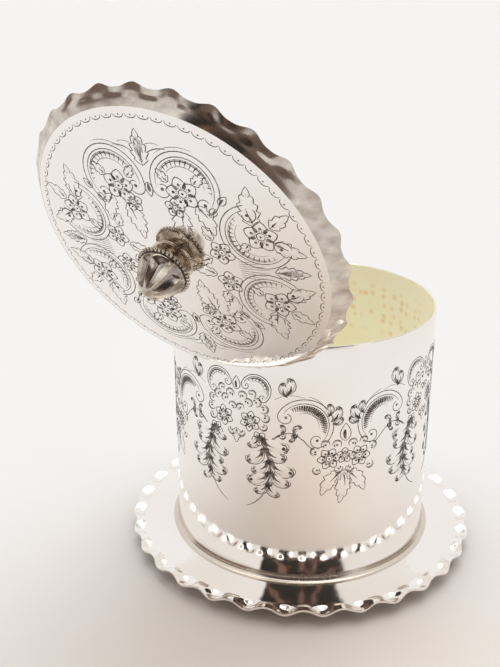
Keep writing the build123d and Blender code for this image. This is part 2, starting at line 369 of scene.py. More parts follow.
@dataclass(frozen=True)
class WornMetal:
    """A small fitting's metal: brushed, with patches of tarnish."""

    name: str
    clean: Triple
    tarnish: Triple
    roughness_low: float
    roughness_high: float
    brush_depth: float = 0.000008

    def material(self) -> Finish:
        """Build the finish.

        Returns:
            The material.
        """
        sheet = NodeSheet(self.name)
        stains = sheet.noise(260.0, 5.0)
        tone = sheet.between(sheet.spread(stains, 0.4, 0.75, 0.0, 1.0), self.clean, self.tarnish)
        sheet.join(tone, sheet.shader.inputs["Base Color"])
        sheet.join(
            sheet.spread(stains, 0.3, 0.7, self.roughness_low, self.roughness_high),
            sheet.shader.inputs["Roughness"],
        )
        brushed = sheet.noise(1500.0, 2.0, sheet.stretched((1.0, 8.0, 1.0)))
        sheet.relief(brushed, self.brush_depth)
        sheet.shader.inputs["Metallic"].default_value = 1.0
        return sheet.material


@dataclass(frozen=True)
class PaperTable:
    """The plain pale table top, with a painted warm shadow of the box in front of it."""

    name: str
    pale: Triple = (0.725, 0.722, 0.718)
    # The warm colour is a painted shadow of the box: darker and warmer round a point in front of it, fading
    # out over its reach.
    warm: Triple = (0.72, 0.635, 0.57)
    painted_shadow_centre: Triple = (0.0, -0.13, 0.0)
    painted_shadow_reach: float = 0.20

    def material(self) -> Finish:
        """Build the finish.

        Returns:
            The material.
        """
        sheet = NodeSheet(self.name)
        mapping = sheet.add("ShaderNodeMapping")
        mapping.inputs["Location"].default_value = [-c / self.painted_shadow_reach for c in self.painted_shadow_centre]
        mapping.inputs["Scale"].default_value = [1 / self.painted_shadow_reach] * 3
        sheet.join(sheet.place, mapping.inputs["Vector"])
        # Painted shadow: strongest at its centre, gone by its reach, mottled by noise.
        shadow_falloff = sheet.add("ShaderNodeTexGradient", gradient_type="SPHERICAL")
        sheet.join(mapping.outputs["Vector"], shadow_falloff.inputs["Vector"])
        mottle = sheet.spread(sheet.noise(45.0, 4.0), 0.2, 0.8, 0.75, 1.0)
        share = sheet.combine("MULTIPLY", sheet.spread(shadow_falloff.outputs["Fac"], 0.0, 0.8, 0.0, 1.0), mottle)
        sheet.join(sheet.between(share, self.pale, self.warm), sheet.shader.inputs["Base Color"])
        sheet.relief(sheet.noise(900.0, 3.0), 0.00001)
        sheet.shader.inputs["Roughness"].default_value = 0.9
        sheet.shader.inputs["Specular IOR Level"].default_value = 0.1
        return sheet.material


@dataclass
class Finishes:
    """Every finish of the object, each built once."""

    silver: Finish = field(default_factory=PolishedSilver("polished_silver").material)
    gilt: Finish = field(default_factory=GoldWash("gold_wash").material)
    # The moulding is a darker, tan copy of the polished silver: painted shade and dark reflections of the
    # corner between wall and tray.
    shaded_moulding: Finish = field(
        default_factory=PolishedSilver(
            "satin_shaded_moulding", (0.80, 0.73, 0.65), (0.62, 0.54, 0.46), 0.18, 0.30, 0.0000002
        ).material
    )
    # The border is darkened brown-grey: the painted reflection of the tent's dark mouth, with tarnish
    # streaks.
    border: Finish = field(default_factory=TarnishedAndShadedSilver("tarnish_and_reflection_border").material)
    # The finial is darkened grey-brown: tarnish, with the dark reflection of the tent's mouth painted in.
    finial: Finish = field(
        default_factory=TarnishedAndShadedSilver(
            "tarnish_and_reflection_finial", (0.86, 0.79, 0.69), (0.34, 0.27, 0.21), 0.34, 0.66
        ).material
    )
    # The flute hollows' finish is darker still: painted shade in the hollows, with tarnish.
    hollow: Finish = field(
        default_factory=TarnishedAndShadedSilver(
            "tarnish_and_shade_flute_hollow", (0.50, 0.44, 0.40), (0.22, 0.18, 0.15), 0.30, 0.66, 0.16, 0.30
        ).material
    )
    cut: Finish = field(default_factory=DarkenedCut("darkened_cut").material)
    hinge: Finish = field(
        default_factory=WornMetal(
            "worn_hinge_silver", (0.86, 0.83, 0.79), (0.55, 0.49, 0.43), 0.18, 0.34
        ).material
    )
    brass: Finish = field(
        default_factory=WornMetal(
            "dulled_brass", (0.80, 0.68, 0.44), (0.48, 0.38, 0.25), 0.25, 0.42
        ).material
    )


# ---------------------------------------------------------------------------
# Mesh helpers
# ---------------------------------------------------------------------------


def put_mesh(name: str, bm: Mesh, finishes: Sequence[Finish]) -> Piece:
    """Make an object of a finished bmesh, smooth with its creases kept.

    Args:
        name: the piece's name.
        bm: the mesh, which is freed.
        finishes: the piece's materials, in the order of its faces' indices.

    Returns:
        The new object, at the origin.
    """
    mesh = bpy.data.meshes.new(name)
    for face in bm.faces:
        face.smooth = True
    bm.to_mesh(mesh)
    bm.free()
    mesh.set_sharp_from_angle(angle=CREASE_ANGLE)
    for finish in finishes:
        mesh.materials.append(finish)
    piece = bpy.data.objects.new(name, mesh)
    bpy.context.scene.collection.objects.link(piece)
    return piece


def settle(piece: Piece, ride: Ride, slot: Slot, nodes: Sequence[str] = ()) -> Piece:
    """Fix a piece to its body and hide the CAD nodes it stands for.

    Args:
        piece: the finished piece.
        ride: the body it moves with.
        slot: the record's slot for its finish; not used.
        nodes: the CAD nodes that it replaces.

    Returns:
        The same piece.
    """
    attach(piece, ride.value)
    if nodes:
        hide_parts(*nodes)
    LOG.info("%s rides on %s, %d faces", piece.name, ride.value, len(piece.data.polygons))
    return piece


def flowing(points: Sequence[Point], per_span: int) -> list[Point]:
    """A smooth line through a few points.

    Args:
        points: the points that the line passes.
        per_span: how many pieces each span is divided into.

    Returns:
        The line's points.
    """
    ends = [points[0], *points, points[-1]]
    line: list[Point] = []
    for before, start, end, after in zip(ends, ends[1:], ends[2:], ends[3:]):
        for i in range(per_span):
            t = i / per_span
            point = []
            for a, b, c, d in zip(before, start, end, after):
                square = (2 * a - 5 * b + 4 * c - d) * t**2
                cube = (3 * b - a - 3 * c + d) * t**3
                point.append(0.5 * (2 * b + (c - a) * t + square + cube))
            line.append(tuple(point))
    line.append(tuple(points[-1]))
    return line


def lathe(outline: Sequence[Point], steps: int, closed: bool) -> Mesh:
    """Turn an outline about the Z axis.

    Args:
        outline: (radius, height) points of the section.
        steps: how many steps the turn has.
        closed: whether the section's last point joins its first.

    Returns:
        The turned mesh.
    """
    bm = bmesh.new()
    verts = [bm.verts.new((radius, 0.0, height)) for radius, height in outline]
    pairs = list(zip(verts, verts[1:]))
    if closed:
        pairs.append((verts[-1], verts[0]))
    edges = [bm.edges.new(pair) for pair in pairs]
    bmesh.ops.spin(
        bm,
        geom=verts + edges,
        cent=(0, 0, 0),
        axis=(0, 0, 1),
        angle=FULL_TURN,
        steps=steps,
        use_merge=True,
    )
    bmesh.ops.remove_doubles(bm, verts=bm.verts, dist=0.000001)
    bmesh.ops.recalc_face_normals(bm, faces=bm.faces)
    return bm


def stamp(bm: Mesh, shape: bpy.types.Mesh, place: Matrix) -> None:
    """Add a copy of a small shape to a mesh.

    Args:
        bm: the mesh that takes the copy.
        shape: the small shape.
        place: where the copy goes.
    """
    shape.transform(place)
    bm.from_mesh(shape)
    shape.transform(place.inverted())


def ball(sides: int, rings: int) -> bpy.types.Mesh:
    """A ball of radius 1, to be stamped.

    Args:
        sides: how many faces it has round its equator.
        rings: how many faces it has from pole to pole.

    Returns:
        The ball's mesh.
    """
    bm = bmesh.new()
    bmesh.ops.create_uvsphere(bm, u_segments=sides, v_segments=rings, radius=1.0)
    shape = bpy.data.meshes.new("ball")
    bm.to_mesh(shape)
    bm.free()
    return shape


def eased(value: float, low: float, high: float) -> float:
    """Smooth step from 0 at low to 1 at high."""
    share = min(max((value - low) / (high - low), 0.0), 1.0)
    return share * share * (3 - 2 * share)


@dataclass(frozen=True)
class Frill:
    """A waved edge: one outward scoop per lobe, with narrower pinches between."""

    lobes: int
    starts_at: float
    edge: float
    reach: float
    dip: float
    sharpness: float
    shallowing: float = 0.0

    def lobe(self, angle: float) -> float:
        """How far into a scoop an angle lies, from 0 at a pinch to 1 at a scoop's middle."""
        return ((1 + math.cos(self.lobes * angle)) / 2) ** self.sharpness

    def wave(self, bm: Mesh) -> None:
        """Move a turned mesh's rim outwards and down at each scoop.

        Args:
            bm: the mesh, still with its axis on Z.
        """
        for vert in bm.verts:
            radius = math.hypot(vert.co.x, vert.co.y)
            share = max(0.0, (radius - self.starts_at) / (self.edge - self.starts_at))
            if share == 0.0:
                continue
            hollow = self.lobe(math.atan2(vert.co.y, vert.co.x)) - 0.4
            pushed = radius + self.reach * hollow * share**1.6
            vert.co.x *= pushed / radius
            vert.co.y *= pushed / radius
            spoon = eased(share, 0.0, 0.55) * (1 - self.shallowing * eased(share, 0.5, 1.0))
            vert.co.z -= self.dip * hollow * spoon


# ---------------------------------------------------------------------------
# The hinge's frame
# ---------------------------------------------------------------------------


@dataclass(frozen=True)
class HingePlace:
    """Where the hinge is, and how the closed lid comes to its open rest."""

    pin: Vector
    axis: Vector
    opening: float

    @classmethod
    def from_frame(cls, joint: dict) -> "HingePlace":
        """Read the hinge from the record's joint.

        Args:
            joint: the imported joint.

        Returns:
            The hinge's place.
        """
        opening = -math.radians(joint["range_deg"][0])
        return cls(Vector(joint["pos_m"]), Vector(joint["axis"]).normalized(), opening)

    @property
    def azimuth(self) -> float:
        """The hinge's direction about the body's axis, from +X."""
        return math.atan2(-self.axis.x, self.axis.y)

    def facing(self) -> Matrix:
        """Turn that brings a hinge drawn towards +X to its place."""
        return Matrix.Rotation(self.azimuth, 4, "Z")

    def swung_open(self) -> Matrix:
        """From a closed lid drawn with its hinge towards +X to the open lid."""
        swing = Matrix.Rotation(self.opening, 4, self.axis)
        return Matrix.Translation(self.pin) @ swing @ Matrix.Translation(-self.pin) @ self.facing()


# ---------------------------------------------------------------------------
# Engraving: flat drawings in millimetres, wrapped on the wall or the dome
# ---------------------------------------------------------------------------


@dataclass(frozen=True)
class WallChart:
    """Wraps a drawing on the cylinder: across is arc length, up is height."""

    radius: float

    def wrap(self, across: float, up: float, proud: float) -> Vector:
        """Place of a drawn point, in metres.

        Args:
            across: millimetres round the wall from +X.
            up: height in millimetres.
            proud: millimetres above the surface.

        Returns:
            The point in space.
        """
        angle = across * MM / self.radius
        reach = self.radius + proud * MM
        return Vector((reach * math.cos(angle), reach * math.sin(angle), up * MM))


@dataclass(frozen=True)
class DomeChart:
    """Wraps a drawing on the lid's dome: up points away from the hinge."""

    sphere: float
    centre_height: float
    placed: Matrix

    def wrap(self, across: float, up: float, proud: float) -> Vector:
        """Place of a drawn point, in metres.

        Args:
            across: millimetres along the hinge's direction.
            up: millimetres away from the hinge.
            proud: millimetres above the surface.

        Returns:
            The point in space.
        """
        flat = Vector((-up * MM, across * MM, 0.0))
        rise = math.sqrt(self.sphere**2 - flat.length_squared)
        outward = Vector((flat.x, flat.y, rise)).normalized()
        return self.placed @ (Vector((0, 0, self.centre_height)) + outward * (self.sphere + proud * MM))


@dataclass
class Engraver:
    """Collects cuts, punch marks and raised petals, and makes meshes of them."""

    chart: WallChart | DomeChart
    sides: tuple[int, int] = (1, 1)
    shift: float = 0.0
    cuts: list[tuple[list[Point], list[float]]] = field(default_factory=list)
    punches: list[tuple[Point, float]] = field(default_factory=list)
    petals: list[tuple[Point, float, float, float]] = field(default_factory=list)

    CUT_RELIEF = 0.40
    PETAL_RELIEF = 0.05
    MOST_PROUD = 0.14
    PUNCH_SIDES = 8
    PUNCH_RINGS = 4
    PETAL_SIDES = 14
    PETAL_RINGS = 7

    def mirrored(self, across: int, up: int) -> None:
        """Draw what follows mirrored: each side is 1 or -1."""
        self.sides = (across, up)

    def spot(self, point: Point) -> Point:
        """A point of the drawing, mirrored and shifted to its repeat."""
        return point[0] * self.sides[0] + self.shift, point[1] * self.sides[1]

    def cut(self, line: Sequence[Point], width: float, heel: float = 0.35, toe: float = 0.35) -> None:
        """Cut one line, swelling towards its middle.

        Args:
            line: the points of the cut, in millimetres.
            width: its widest width, in millimetres.
            heel: its width at the start, as a share.
            toe: its width at the end, as a share.
        """
        count = len(line) - 1
        radii = []
        for i in range(count + 1):
            share = i / count
            swell = math.sin(math.pi * share) ** 0.6
            ends = heel * (1 - share) + toe * share
            radii.append(0.5 * width * (ends + (1 - ends) * swell))
        self.cuts.append(([self.spot(point) for point in line], radii))

    def punch(self, point: Point, size: float) -> None:
        """Strike one round mark, its size a diameter in millimetres."""
        self.punches.append((self.spot(point), 0.5 * size))

    def petal(self, point: Point, direction: float, length: float, width: float) -> None:
        """Raise one smooth petal.

        Args:
            point: its middle, in millimetres.
            direction: where its length points, in radians.
            length: its length in millimetres.
            width: its width in millimetres.
        """
        facing = math.atan2(math.sin(direction) * self.sides[1], math.cos(direction) * self.sides[0])
        self.petals.append((self.spot(point), facing, 0.5 * length, 0.5 * width))

    def wrapped(self, name: str, bm: Mesh, relief: float, finish: Finish) -> Piece:
        """Wrap a flat mesh on the surface.

        Args:
            name: the piece's name.
            bm: the mesh, drawn flat in millimetres.
            relief: how much of its height is kept.
            finish: its material.

        Returns:
            The new object.
        """
        for vert in bm.verts:
            proud = max(-self.MOST_PROUD, min(self.MOST_PROUD, vert.co.z * relief))
            vert.co = self.chart.wrap(vert.co.x, vert.co.y, proud)
        bmesh.ops.recalc_face_normals(bm, faces=bm.faces)
        return put_mesh(name, bm, [finish])

    def cut_mesh(self, name: str, finish: Finish) -> Piece:
        """Make one mesh of all cuts and punch marks.

        Args:
            name: the piece's name.
            finish: its material.

        Returns:
            The new object.
        """
        curve = bpy.data.curves.new(name, "CURVE")
        curve.dimensions = "3D"
        curve.bevel_depth = 1.0
        curve.bevel_resolution = 0
        curve.use_fill_caps = True
        for points, radii in self.cuts:
            spline = curve.splines.new("POLY")
            spline.points.add(len(points) - 1)
            for knot, point, radius in zip(spline.points, points, radii):
                knot.co = (*point, 0.0, 1.0)
                knot.radius = radius
        drawn = bpy.data.objects.new(name + "_lines", curve)
        bpy.context.scene.collection.objects.link(drawn)
        bpy.context.view_layer.update()
        tubes = bpy.data.meshes.new_from_object(drawn.evaluated_get(bpy.context.evaluated_depsgraph_get()))
        bpy.data.objects.remove(drawn)
        bm = bmesh.new()
        bm.from_mesh(tubes)
        bpy.data.meshes.remove(tubes)
        mark = ball(self.PUNCH_SIDES, self.PUNCH_RINGS)
        for point, radius in self.punches:
            stamp(bm, mark, Matrix.LocRotScale((*point, 0.0), None, [radius] * 3))
        bpy.data.meshes.remove(mark)
        return self.wrapped(name, bm, self.CUT_RELIEF, finish)

    def petal_mesh(self, name: str, finish: Finish) -> Piece:
        """Make one mesh of all raised petals.

        Args:
            name: the piece's name.
            finish: its material.

        Returns:
            The new object.
        """
        bm = bmesh.new()
        drop = ball(self.PETAL_SIDES, self.PETAL_RINGS)
        for point, facing, half_length, half_width in self.petals:
            size = (half_length, half_width, half_width)
            stamp(bm, drop, Matrix.LocRotScale((*point, 0.0), Euler((0.0, 0.0, facing)), size))
        bpy.data.meshes.remove(drop)
        return self.wrapped(name, bm, self.PETAL_RELIEF, finish)


def polar(centre: Point, radius: float, angle: float) -> Point:
    """A point at a distance and direction from another."""
    return centre[0] + radius * math.cos(angle), centre[1] + radius * math.sin(angle)


@dataclass
class Motifs:
    """The engraver's stock of scrolls, flowers and leaves, sized in millimetres."""

    tool: Engraver
    line: float = 0.40
    hair: float = 0.24
    heavy: float = 1.05
    curl_share: float = 0.30
    curl_turn: float = 1.55 * math.pi
    inset_share: float = 0.15
    curled_tip: float = 3.9

    def arc(self, centre: Point, radius: float, start: float, end: float, width: float) -> None:
        """Cut part of a circle.

        Args:
            centre: the circle's middle.
            radius: its radius.
            start: the angle it starts at, in radians.
            end: the angle it ends at.
            width: the cut's width.
        """
        steps = max(8, int(abs(end - start) / 0.2))
        angles = [start + (end - start) * i / steps for i in range(steps + 1)]
        self.tool.cut([polar(centre, radius, angle) for angle in angles], width)

    def sweep(self, start: Point, heading: float, length: float, bend: float, width: float) -> None:
        """Cut a line that bends as it goes.

        Args:
            start: its first point.
            heading: the direction it sets off in, in radians.
            length: its length.
            bend: how far it has turned by its end, in radians.
            width: the cut's width.
        """
        steps = 10
        line = [start]
        for i in range(steps):
            line.append(polar(line[-1], length / steps, heading + bend * ((i + 0.5) / steps)))
        self.tool.cut(line, width, 0.7, 0.25)

    def scroll(self, centre: Point, radius: float, opening: float, span: float, shade: float) -> None:
        """Cut a C-scroll with a hatched inner band and two curled ends.

        Args:
            centre: the scroll's middle.
            radius: its outer radius.
            opening: the direction its mouth faces, in radians.
            span: the angle that its back covers, in radians.
            shade: how wide and dark the hatched band is, from 0 to 1.
        """
        first = opening + math.pi - span / 2
        last = opening + math.pi + span / 2
        curl = self.curl_share * radius
        steps = 26
        line = []
        for angle, sense in ((first, -1), (last, 1)):
            middle = polar(centre, radius - curl, angle)
            end = [
                polar(middle, curl * (1 - 0.55 * i / steps), angle + sense * self.curl_turn * i / steps)
                for i in range(steps + 1)
            ]
            line = end[::-1] if sense < 0 else line + end
            self.tool.punch(middle, 0.36 * curl)
            if sense < 0:
                line += [polar(centre, radius, first + span * i / steps) for i in range(1, steps)]
        self.tool.cut(line, self.line, 0.8, 0.8)
        inset = self.inset_share * radius
        self.arc(centre, radius - inset, first + 0.1, last - 0.1, self.line)
        self.arc(centre, radius - 1.5 * inset, first + 0.45, last - 0.45, self.hair)
        band = (1.0 + 0.9 * shade) * inset
        self.arc(centre, radius - 1.5 * inset - band, first + 0.7, last - 0.7, self.hair)
        ticks = int((0.6 + 1.2 * shade) * span * radius / 3.2)
        for i in range(ticks):
            share = (i + 0.5) / ticks
            angle = first + 0.5 + (span - 1.0) * share
            deep = math.sin(math.pi * share) ** 0.5
            outer = radius - 1.45 * inset
            inner = outer - (0.35 + 0.65 * deep) * band
            marks = [polar(centre, outer + (inner - outer) * t, angle + 0.04 * t) for t in (0.0, 0.5, 1.0)]
            self.tool.cut(marks, (0.32 + 0.55 * shade) * (0.5 + 0.5 * deep), 0.9, 0.3)
        for i in range(int(4 * shade)):
            away = radius - 1.45 * inset - band * (0.25 + 0.2 * i)
            self.arc(centre, away, first + 0.8 + 0.12 * i, last - 0.8 - 0.12 * i, 0.5)

    def flower(self, centre: Point, radius: float, petals: int, turn: float) -> None:
        """Cut a flower of rounded petals round a ringed eye.

        Args:
            centre: its middle.
            radius: its outer radius.
            petals: how many petals it has.
            turn: the first petal's direction, in radians.
        """
        half_width = 0.66 * radius * math.sin(math.pi / petals)
        half_length = 0.34 * radius
        away = 0.66 * radius
        steps = 12
        for k in range(petals):
            facing = turn + FULL_TURN * k / petals
            middle = polar(centre, away, facing)
            rim = []
            for i in range(steps + 1):
                t = 2 * i / steps - 1
                along = half_length * (1.05 - 1.9 * abs(t) ** 1.35)
                side = half_width * math.sin(1.95 * t) / math.sin(1.57)
                rim.append(polar(polar(middle, along, facing), side, facing + math.pi / 2))
            self.tool.cut(rim, self.line, 0.6, 0.9)
            self.tool.petal(middle, facing, 1.5 * half_length, 1.4 * half_width)
            self.tool.punch(polar(centre, 0.56 * radius, facing), 0.23 * radius)
            for lean in (-0.2, 0.2):
                vein = [polar(centre, r * radius, facing + lean * (0.5 + r)) for r in (0.3, 0.5, 0.74)]
                self.tool.cut(vein, self.hair, 0.9, 0.3)
            gap = facing + math.pi / petals
            shade = [polar(centre, r * radius, gap) for r in (0.34, 0.52, 0.80)]
            self.tool.cut(shade, 0.24 * radius, 0.8, 0.2)
        self.arc(centre, 0.25 * radius, 0.0, FULL_TURN, self.line)
        self.tool.petal(centre, 0.0, 0.44 * radius, 0.44 * radius)
        self.tool.punch(centre, 0.19 * radius)

    def leaf(
        self, base: Point, heading: float, length: float, width: float, teeth: int, bend: float = 0.0
    ) -> None:
        """Cut a pointed leaf with a ragged edge, a midrib, veins and a shaded side.

        Args:
            base: where the leaf starts.
            heading: the direction it sets off in, in radians.
            length: its length.
            width: its widest width.
            teeth: how many teeth each side has.
            bend: how far its midrib turns by the tip, in radians.
        """
        steps = 5 * teeth
        rib = [base]
        angles = []
        for i in range(steps):
            angles.append(heading + bend * ((i + 0.5) / steps) ** 1.5)
            rib.append(polar(rib[-1], length / steps, angles[-1]))
        angles.append(angles[-1])
        self.tool.cut(rib[: int(0.9 * steps)], self.hair, 0.9, 0.3)
        for side in (-1, 1):
            edge = []
            for i, (point, angle) in enumerate(zip(rib, angles)):
                share = i / steps
                full = math.sin(math.pi * share**0.72) ** 0.9 if 0 < i < steps else 0.0
                tooth = 0.62 + 0.38 * ((share * teeth) % 1.0)
                edge.append(polar(point, 0.5 * width * full * tooth, angle + side * math.pi / 2))
            self.tool.cut(edge, self.line, 0.6, 0.6)
            for k in range(teeth - 1):
                i = int(steps * (k + 0.55) / teeth)
                reach = 0.40 * width * math.sin(math.pi * (i / steps) ** 0.72)
                self.sweep(rib[i], angles[i] + side * 0.7, max(reach, 0.3), -side * 0.3, self.hair)
        shaded = steps // 3
        self.sweep(rib[shaded // 2], angles[0] + 0.22, 0.34 * length, -0.2, 0.34 * self.heavy + 0.06 * width)
        self.tool.petal(rib[steps // 2], angles[steps // 2], 0.6 * length, 0.46 * width)

    def bud(self, base: Point, heading: float, length: float, width: float) -> None:
        """Cut a closed leaf bud with heavy shade marks.

        Args:
            base: where the bud starts.
            heading: the direction it points, in radians.
            length: its length.
            width: its widest width.
        """
        steps = 10
        for side in (-1, 1):
            edge = []
            for i in range(steps + 1):
                share = i / steps
                reach = 0.5 * width * math.sin(math.pi * share**0.75) ** 0.9
                edge.append(polar(polar(base, length * share, heading), reach, heading + side * math.pi / 2))
            self.tool.cut(edge, self.line, 0.5, 0.7)
        self.sweep(polar(base, 0.15 * length, heading), heading + 0.3, 0.5 * length, -0.5, 0.30 * width)
        self.sweep(base, heading - 0.25, 0.6 * length, 0.5, self.hair)

    def scale(self, centre: Point, radius: float, facing: float) -> None:
        """Cut one scale: an open round line with a shaded mark in it.

        Args:
            centre: its middle.
            radius: its radius.
            facing: the direction its round side faces, in radians.
        """
        self.arc(centre, radius, facing - 2.1, facing + 2.0, 1.2 * self.line)
        self.arc(polar(centre, 0.1 * radius, facing), 0.66 * radius, facing - 1.3, facing + 1.6, self.hair)
        self.tool.petal(centre, facing, 1.3 * radius, 1.3 * radius)
        self.tool.punch(polar(centre, 0.12 * radius, facing + math.pi), 0.62 * radius)
        self.sweep(polar(centre, 0.8 * radius, facing + 2.6), facing + 0.5, 0.7 * radius, -0.9, 0.34 * radius)

    def hook(self, start: Point, tip: Point, side: int) -> None:
        """Cut a leaflet whose tip curls over, shaded under the curl.

        Args:
            start: where it leaves its stem.
            tip: where its curl begins.
            side: 1 curls to the left of its direction, -1 to the right.
        """
        heading = math.atan2(tip[1] - start[1], tip[0] - start[0])
        length = math.dist(start, tip)
        steps = 8
        for belly, reach, width in (
            (0.62, 1.0, self.line),
            (0.42, 0.95, self.hair),
            (0.22, 0.90, self.hair),
            (-0.16, 0.78, self.line),
        ):
            bulge = polar(polar(start, 0.6 * length, heading), belly * length, heading - side * math.pi / 2)
            goal = polar(start, length * reach, heading)
            line = []
            for i in range(steps + 1):
                t = i / steps
                begin, middle, end = (1 - t) ** 2, 2 * t * (1 - t), t * t
                line.append(tuple(begin * a + middle * b + end * c for a, b, c in zip(start, bulge, goal)))
            leaving = math.atan2(goal[1] - bulge[1], goal[0] - bulge[0])
            for i in range(steps):
                curled = leaving + side * self.curled_tip * (i + 1) / steps
                line.append(polar(line[-1], 0.075 * length, curled))
            self.tool.cut(line, width, 0.8, 0.5)
        self.tool.petal(polar(start, 0.6 * length, heading), heading, 0.7 * length, 0.4 * length)
        inner = polar(start, 0.08 * length, heading)
        self.sweep(inner, heading - side * 0.55, 0.62 * length, side * 1.1, 0.17 * length)
        self.tool.punch(polar(start, 0.86 * length, heading + side * 0.10), 0.14 * length)

    def spray(
        self, stem: Sequence[Point], leaflets: Sequence[tuple[int, Point, int]], tail: Sequence[Point]
    ) -> None:
        """Cut a hanging acanthus spray.

        Args:
            stem: points that its stem passes.
            leaflets: each leaflet's stem point by number, its tip and its curl's side.
            tail: points that its long thin tail passes.
        """
        for shift, width in ((-0.6, self.hair), (0.0, self.line), (0.6, self.hair)):
            beside = [(x + shift * (1 - i / len(stem)), y) for i, (x, y) in enumerate(stem)]
            self.tool.cut(flowing(beside, 5), width)
        for number, tip, side in leaflets:
            self.hook(stem[number], tip, side)
            self.scale(polar(stem[number], 0.9, -0.9), 1.3, -1.2)
            inner = tuple(a + 0.55 * (b - a) for a, b in zip(stem[number], tip))
            self.tool.cut([stem[number], inner], self.hair)
        self.tool.cut(flowing(tail, 6), self.line, 0.9, 0.2)


# ---------------------------------------------------------------------------
# Sub-assemblies
# ---------------------------------------------------------------------------


@dataclass
class Tray:
    """The round dish under the box and the moulding at the wall's foot."""

    finishes: Finishes
    hinge: HingePlace
    sheet: float = 0.9 * MM
    frill: Frill = Frill(31, 75.2 * MM, 81.8 * MM, 1.7 * MM, 2.4 * MM, 1.1, 0.42)
    edge_height: float = 8.0 * MM
    flat_radius: float = 62.9 * MM

    def outline(self) -> list[Point]:
        """Section of the dish: its upper face out to the rim and its lower face back.

        Returns:
            The section's points.
        """
        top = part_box("body_wall")[0].z
        upper = flowing(
            [
                (self.flat_radius, top),
                (67.5 * MM, 7.1 * MM),
                (73.0 * MM, 6.9 * MM),
                (78.0 * MM, 7.3 * MM),
                (self.frill.edge, self.edge_height),
            ],
            8,
        )
        lower = [(radius, height - self.sheet) for radius, height in reversed(upper)]
        return [(0.0, top), *upper, *lower, (0.0, top - self.sheet)]

    def dish(self) -> Piece:
        """Turn the dish and wave its rim.

        Returns:
            The dish.
        """
        bm = lathe(self.outline(), self.frill.lobes * STEPS_PER_LOBE, False)
        self.frill.wave(bm)
        bmesh.ops.transform(bm, matrix=self.hinge.facing(), verts=bm.verts)
        piece = put_mesh("tray_frilled_dish", bm, [self.finishes.silver])
        return settle(piece, Ride.BOX, Slot.SILVER, ["tray_dish"])

    def moulding(self) -> Piece:
        """Turn the hollow moulding in the corner between wall and tray.

        Returns:
            The moulding.
        """
        low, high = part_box("base_moulding")
        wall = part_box("body_wall")[1].x
        reach = high.x - wall
        rise = high.z - low.z
        hollow = flowing(
            [
                (high.x, low.z + 0.35 * MM),
                (wall + 0.62 * reach, low.z + 0.16 * rise),
                (wall + 0.30 * reach, low.z + 0.36 * rise),
                (wall + 0.11 * reach, low.z + 0.64 * rise),
                (wall + 0.05 * reach, high.z),
            ],
            6,
        )
        section = [(wall - 0.05 * MM, low.z), (high.x, low.z), *hollow, (wall - 0.05 * MM, high.z)]
        # Its finish is the darker moulding silver, with painted shade and reflections.
        piece = put_mesh("base_hollow_moulding", lathe(section, ROUND_STEPS, True), [self.finishes.shaded_moulding])
        return settle(piece, Ride.BOX, Slot.SILVER, ["base_moulding"])

    def build(self) -> Iterator[Piece]:
        """Build the tray's pieces."""
        yield self.dish()
        yield self.moulding()


